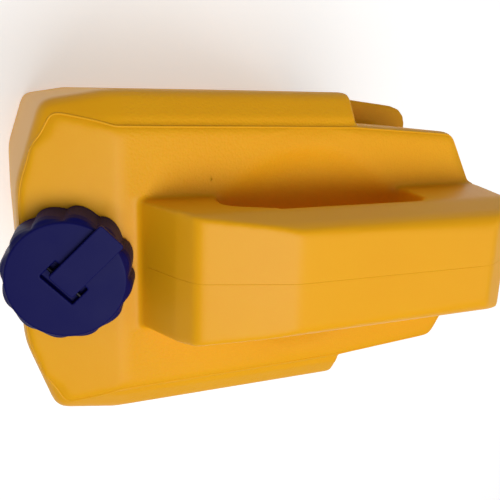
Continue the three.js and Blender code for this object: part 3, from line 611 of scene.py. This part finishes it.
# %% Rim bead and parting line
RIM_BEAD_R = 0.9 * MM
RIM_DROP = 2.4 * MM
RIM_POINTS = 720
RIM_SUNK = 0.35  # of the bead's radius
RIM_MIDDLE = Vector((0, -0.01, DECK_Z - RIM_DROP))
SLOPE_START_Y = 127 * MM
SLOPE_FALL = math.tan(math.radians(13.6))
SLOPE_TRIES = 14
PARTING_R = 0.32 * MM
PARTING_POINTS = 150
PARTING_SUNK = 0.12 * MM
PARTING_START_Y = -0.192
PARTING_LENGTH = 0.3
ABOVE_TANK_Z = 0.6
BESIDE_TANK = 0.4
TANK_TREE = BVHTree.FromPolygons(
    [vert.co.copy() for vert in TANK_MESH.vertices],
    [tuple(face.vertices) for face in TANK_MESH.polygons],
)


def drawn_line(name, points, radius, closed=False):
    """A thin round line through the points, as a mesh."""
    curve = bpy.data.curves.new(name, "CURVE")
    curve.dimensions = "3D"
    curve.bevel_depth = radius
    curve.bevel_resolution = 2
    curve.use_fill_caps = True
    line = curve.splines.new("POLY")
    line.points.add(len(points) - 1)
    for place, point in zip(line.points, points):
        place.co = (*point, 1)
    line.use_cyclic_u = closed
    helper = bpy.data.objects.new(name, curve)
    bpy.context.scene.collection.objects.link(helper)
    return baked(helper, name)


def handle_line():
    """Where a vertical plane through the middle meets the handle's top, from its root to its nose."""
    points = []
    for step in range(PARTING_POINTS):
        y = PARTING_START_Y + PARTING_LENGTH * step / (PARTING_POINTS - 1)
        hit = TANK_TREE.ray_cast(Vector((0, y, ABOVE_TANK_Z)), Vector((0, 0, -1)))[0]
        if hit and hit.z > DECK_Z + 4 * MM:
            points.append(hit + Vector((0, 0, -PARTING_SUNK)))
    return points


def rim_line():
    """Goes round the deck's rounded edge. On the filler slope, each ray steps down to meet the edge."""
    points = []
    for step in range(RIM_POINTS):
        angle = 2 * math.pi * step / RIM_POINTS
        way = Vector((math.cos(angle), math.sin(angle), 0))
        start = RIM_MIDDLE + way * BESIDE_TANK
        hit = TANK_TREE.ray_cast(start, -way)[0]
        for _ in range(SLOPE_TRIES):
            if not hit or hit.y < SLOPE_START_Y:
                break
            start.z = DECK_Z - RIM_DROP - (hit.y - SLOPE_START_Y) * SLOPE_FALL
            hit = TANK_TREE.ray_cast(start, -way)[0]
        if hit:
            points.append(hit - way * RIM_SUNK * RIM_BEAD_R)
    return points


rim_mesh = drawn_line("deck_rim_bead", rim_line(), RIM_BEAD_R, closed=True)
link_piece("deck_rim_bead", rim_mesh, "tank", HDPE)
seam_mesh = drawn_line("handle_parting_line", handle_line(), PARTING_R)
link_piece("handle_parting_line", seam_mesh, "tank", HDPE)
print("rim bead", len(rim_mesh.polygons), "faces, parting line", len(seam_mesh.polygons), "faces")


# %% [markdown]
# ## Filler cap
#
# The cap screws onto the neck. Twelve saw-like lugs round its skirt give wet or gloved hands a grip, and
# a flap folds down over the vent hole, hinged in a well in the cap's top. A lug could be modelled once
# and repeated, but it runs into the skirt on both sides. So the skirt is a stack of rings that swell and
# fall by one rule, with the bore, the well and the vent cut out of it.

# %% Cap shape
CAP_HEIGHT = 31 * MM
CAP_PLATE = 8 * MM
CAP_BORE_R = 35.9 * MM
LUGS = 12
LUG_DEPTH = 2.95 * MM
AROUND = 288
WELL_LOW = (-7.7 * MM, -14.5 * MM, -3.5 * MM)
WELL_HIGH = (7.5 * MM, 14.5 * MM, 3 * MM)
VENT_R = 4 * MM
VENT_OFFSET = 24 * MM  # from the flap's pin
ACROSS = Vector((1, 0, 0))
FLAP_PIVOT = Vector(JOINTS["vent_flip"]["pos_m"])
FLAP_AXIS = Vector(JOINTS["vent_flip"]["axis"]).normalized()
CAP_FRAME = placed_axes(NECK_FOOT, ACROSS, CAP_AXIS.cross(ACROSS), CAP_AXIS)
FLAP_FRAME = placed_axes(FLAP_PIVOT, -FLAP_AXIS.cross(CAP_AXIS), -FLAP_AXIS, CAP_AXIS)


def lug_swell(angle):
    """How far a lug stands out at an angle, from 0 to 1. Its uneven rise and fall makes a saw's tooth."""
    along = angle / (2 * math.pi) * LUGS % 1
    return math.sin(math.pi * along**1.5) ** 0.7


def stacked(rings, around=AROUND):
    """A closed solid from rings of (height, radius, lug depth), bottom to top."""
    shape = bmesh.new()
    loops = []
    for height, radius, depth in rings:
        loop = []
        for step in range(around):
            angle = 2 * math.pi * step / around
            r = radius + (depth * lug_swell(angle) if depth else 0)
            loop.append(shape.verts.new((r * math.cos(angle), r * math.sin(angle), height)))
        loops.append(loop)
    for low, high in zip(loops, loops[1:]):
        for i in range(around):
            j = (i + 1) % around
            shape.faces.new((low[i], low[j], high[j], high[i]))
    shape.faces.new(loops[0][::-1])
    shape.faces.new(loops[-1])
    return shape


# %% Cuts in the cap
def box_shape(low, high, frame_matrix):
    """A box between two corners of the given frame."""
    shape = bmesh.new()
    bmesh.ops.create_cube(shape, size=1)
    for vert in shape.verts:
        vert.co = frame_matrix @ Vector([low[i] if vert.co[i] < 0 else high[i] for i in range(3)])
    return shape


def drill(radius, low, high, frame_matrix, sides):
    """A round bar along the frame's Z axis."""
    shape = stacked([(low, radius, 0), (high, radius, 0)], sides)
    shape.transform(frame_matrix)
    return shape


def cut_from(helper, *tools):
    """Takes each tool's shape out of the helper's."""
    for number, shape in enumerate(tools):
        tool = loose(shape, f"tool_{number}")
        cutter = helper.modifiers.new(f"cut_{number}", "BOOLEAN")
        cutter.operation = "DIFFERENCE"
        cutter.object = tool
        cutter.solver = "EXACT"
    mesh = baked(helper, helper.name + "_cut")
    for number in range(len(tools)):
        bpy.data.objects.remove(bpy.data.objects[f"tool_{number}"])
    whole = bpy.data.objects.new(mesh.name, mesh)
    bpy.context.scene.collection.objects.link(whole)
    return whole


def cap_shell():
    """The cap with crisp edges: skirt, chamfered top, bore, well and vent."""
    outside = stacked(
        [
            (1.2 * MM, 43 * MM, LUG_DEPTH),
            (CAP_HEIGHT - 8 * MM, 41.6 * MM, LUG_DEPTH),
            (CAP_HEIGHT - 3.5 * MM, 41 * MM, 0.75 * LUG_DEPTH),
            (CAP_HEIGHT - 1.5 * MM, 41 * MM, 0),
            (CAP_HEIGHT, 39.8 * MM, 0),
        ]
    )
    outside.transform(CAP_FRAME)
    bore = drill(CAP_BORE_R, -2 * MM, CAP_HEIGHT - CAP_PLATE, CAP_FRAME, sides=96)
    well = box_shape(WELL_LOW, WELL_HIGH, FLAP_FRAME)
    vent_frame = FLAP_FRAME @ Matrix.Translation((VENT_OFFSET, 0, 0))
    vent = drill(VENT_R, -9 * MM, 4 * MM, vent_frame, sides=48)
    return cut_from(loose(outside, "cap"), bore, well, vent)


cap_mesh = softened(cap_shell(), "filler_cap", voxel=0.55 * MM, rounds=5, triangles=120000)
cap_piece = link_piece("filler_cap", cap_mesh, "cap", POLYPROPYLENE)
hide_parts("fill_cap")


# %% [markdown]
# The flap is a small lid that turns on a pin. Its CAD shape is right and only too crisp, so it is rounded
# in the same way as the tank, on a finer mesh.

# %% Flap
flap_mesh = softened(
    loose(copy_of("vent_flap"), "flap"), "vent_flap_moulding", voxel=0.4 * MM, rounds=4, triangles=60000
)
flap_piece = link_piece("vent_flap_moulding", flap_mesh, "flap", POLYPROPYLENE)
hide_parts("vent_flap")


# %% [markdown]
# ## Wash bowl and water parts
#
# The bowl is one open moulding, with a heel under its hinge and a rib on its lip for the catch. It is
# rounded like the tank, which leaves a soft lip all round without a bevel to fit past each corner.

# %% Bowl
bowl_mesh = softened(
    loose(copy_of("wash_bowl"), "bowl"), "wash_bowl_moulding", voxel=1.0 * MM, rounds=6, triangles=150000
)
bowl_piece = link_piece("wash_bowl_moulding", bowl_mesh, "bowl", BOWL_PLASTIC)
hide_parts("wash_bowl")


# %% [markdown]
# The small turned and moulded parts keep the CAD shapes. A real edge always catches a little light, so
# each one is broken by a fraction of a millimetre. A bevel keeps flat faces flat, which a remesh of such
# small parts would not.

# %% Small parts
EDGE_BREAK = {"rubber": 0.25, "steel": 0.2, "brass": 0.3}  # millimetres, by slot
PLASTIC_EDGE_BREAK = 0.35
BEVEL_ABOVE = math.radians(38)
SHADED_ROUND_BELOW = math.radians(32)
DONE_ABOVE = {"tank_shell", "fill_cap", "vent_flap", "wash_bowl"}


def edge_broken(node, width):
    """The CAD node with its sharp edges bevelled."""
    helper = loose(copy_of(node), node + "_finished")
    bevel = helper.modifiers.new("edge", "BEVEL")
    bevel.width = width
    bevel.segments = 2
    bevel.limit_method = "ANGLE"
    bevel.angle_limit = BEVEL_ABOVE
    bevel.use_clamp_overlap = True
    return baked(helper, node + "_finished")


for node_name in sorted(NODES):
    if node_name in DONE_ABOVE:
        continue
    slot_name = SLOT_OF[node_name]
    finish = BLACKENED if node_name == "vent_flap_pin" else FINISHES[slot_name]
    mesh = edge_broken(node_name, EDGE_BREAK.get(slot_name, PLASTIC_EDGE_BREAK) * MM)
    piece = link_piece(node_name + "_finished", mesh, BODY_OF[node_name], finish)
    mesh.set_sharp_from_angle(angle=SHADED_ROUND_BELOW)
    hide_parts(node_name)
print("small parts:", len(NODES) - len(DONE_ABOVE))


# %% [markdown]
# Each spray rose is a pressed plate with two circles of holes. The punch leaves a small rolled rim round
# each hole. Sixteen rims could be copied by hand. Geometry Nodes repeats one rim from a count and a
# radius for each circle, so a change to the plate is one edit.

# %% Rolled rims
ROSE_CIRCLES = ((6, 4.2), (10, 9.2))  # holes, and the circle's radius in millimetres
ROSE_HOLE_R = 1.3 * MM
ROLLED_R = 0.26 * MM


def rolled_rims():
    """Small round rims on two circles round the group's Z axis."""
    tree = bpy.data.node_groups.new("rolled_rims", "GeometryNodeTree")
    tree.interface.new_socket("Geometry", in_out="OUTPUT", socket_type="NodeSocketGeometry")
    for name, value in {"Hole Radius": ROSE_HOLE_R, "Rim Radius": ROLLED_R}.items():
        made = tree.interface.new_socket(name, in_out="INPUT", socket_type="NodeSocketFloat")
        made.default_value = value
    tree.interface.new_socket("Material", in_out="INPUT", socket_type="NodeSocketMaterial")
    given = add_node(tree, "NodeGroupInput").outputs
    circle_kind = "GeometryNodeCurvePrimitiveCircle"
    path = add_node(tree, circle_kind, {"Resolution": 24, "Radius": given["Hole Radius"]})
    section = add_node(tree, circle_kind, {"Resolution": 8, "Radius": given["Rim Radius"]})
    rim = add_node(
        tree,
        "GeometryNodeCurveToMesh",
        {"Curve": path.outputs["Curve"], "Profile Curve": section.outputs["Curve"]},
    )
    rims = add_node(tree, "GeometryNodeJoinGeometry")
    for count, radius in ROSE_CIRCLES:
        circle = add_node(tree, "GeometryNodeMeshCircle", {"Vertices": count, "Radius": radius * MM})
        spots = add_node(
            tree,
            "GeometryNodeInstanceOnPoints",
            {"Points": circle.outputs["Mesh"], "Instance": rim.outputs["Mesh"]},
        )
        tree.links.new(spots.outputs["Instances"], rims.inputs["Geometry"])
    real = add_node(tree, "GeometryNodeRealizeInstances", {"Geometry": rims.outputs["Geometry"]})
    painted = add_node(
        tree, "GeometryNodeSetMaterial", {"Geometry": real.outputs[0], "Material": given["Material"]}
    )
    add_node(tree, "NodeGroupOutput", {"Geometry": painted.outputs["Geometry"]})
    return tree


ROLLED_RIMS = rolled_rims()


def rims_on(node):
    """Rims on a rose's outer face, which looks along +Y while the bowl is folded up."""
    low, high = (Vector(corner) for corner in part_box(node))
    middle = (low + high) / 2
    helper = loose(bmesh.new(), node + "_rims")
    repeat = helper.modifiers.new("rims", "NODES")
    repeat.node_group = ROLLED_RIMS
    for item in ROLLED_RIMS.interface.items_tree:
        if item.name == "Material":
            repeat[item.identifier] = STAINLESS
    mesh = baked(helper, node + "_rims")
    out_way = Matrix.Rotation(math.radians(-90), 4, "X")
    mesh.transform(Matrix.Translation((middle.x, high.y, middle.z)) @ out_way)
    return link_piece(node + "_rims", mesh, "bowl", STAINLESS)


for rose in ("spray_rose_left", "spray_rose_right"):
    rim_piece = rims_on(rose)
    print(rim_piece.name, len(rim_piece.data.polygons), "faces")


# %% [markdown]
# ## Studio
#
# A pale floor and soft light. The main soft box hangs high above the filler end, a little to the -X side,
# so the deck and the handle are the brightest surfaces. A weaker one fills in from the front, and the
# world adds a little even light. The floor glows slightly, as a light table does. That lifts it to near
# white, and the lights can stay soft enough for the yellow.

# %% Lights
WORLD_STRENGTH = 0.17


def soft_box(name, place, aim, size, watts):
    """A square area light that faces a point."""
    light = bpy.data.objects.new(name, bpy.data.lights.new(name, "AREA"))
    light.data.size = size
    light.data.energy = watts
    light.location = place
    light.rotation_euler = (Vector(aim) - Vector(place)).to_track_quat("-Z", "Y").to_euler()
    bpy.context.scene.collection.objects.link(light)


soft_box("key", place=(-0.35, 0.2, 1.95), aim=(0, 0, 0.35), size=0.9, watts=19)
soft_box("fill", place=(-0.2, -1.1, 1.5), aim=(0, 0, 0.3), size=1.0, watts=4)

world = bpy.data.worlds.new("studio")
world.use_nodes = True
background = world.node_tree.nodes["Background"]
background.inputs["Color"].default_value = (1, 1, 1, 1)
background.inputs["Strength"].default_value = WORLD_STRENGTH
bpy.context.scene.world = world
bpy.context.scene.view_settings.view_transform = "Standard"
print("lights:", len(bpy.data.lights), "and a world of strength", WORLD_STRENGTH)


# %% Floor
HALF_FLOOR = 6
FLOOR_DROP = 0.5 * MM  # so the floor and the tank's bottom don't share a plane
floor_corners = [(x * HALF_FLOOR, y * HALF_FLOOR, 0) for x, y in ((-1, -1), (1, -1), (1, 1), (-1, 1))]
floor_mesh = bpy.data.meshes.new("floor")
floor_mesh.from_pydata(floor_corners, [], [(0, 1, 2, 3)])
floor = bpy.data.objects.new("floor", floor_mesh)
floor.location.z = -FLOOR_DROP
bpy.context.scene.collection.objects.link(floor)
LIT_ACRYLIC = principled(
    "white_backlit_acrylic", "FAFAFA", 0.9, Emission_Color=(1, 1, 1, 1), Emission_Strength=0.42
)[0]
floor_mesh.materials.append(LIT_ACRYLIC)
print("floor", 2 * HALF_FLOOR, "m wide")
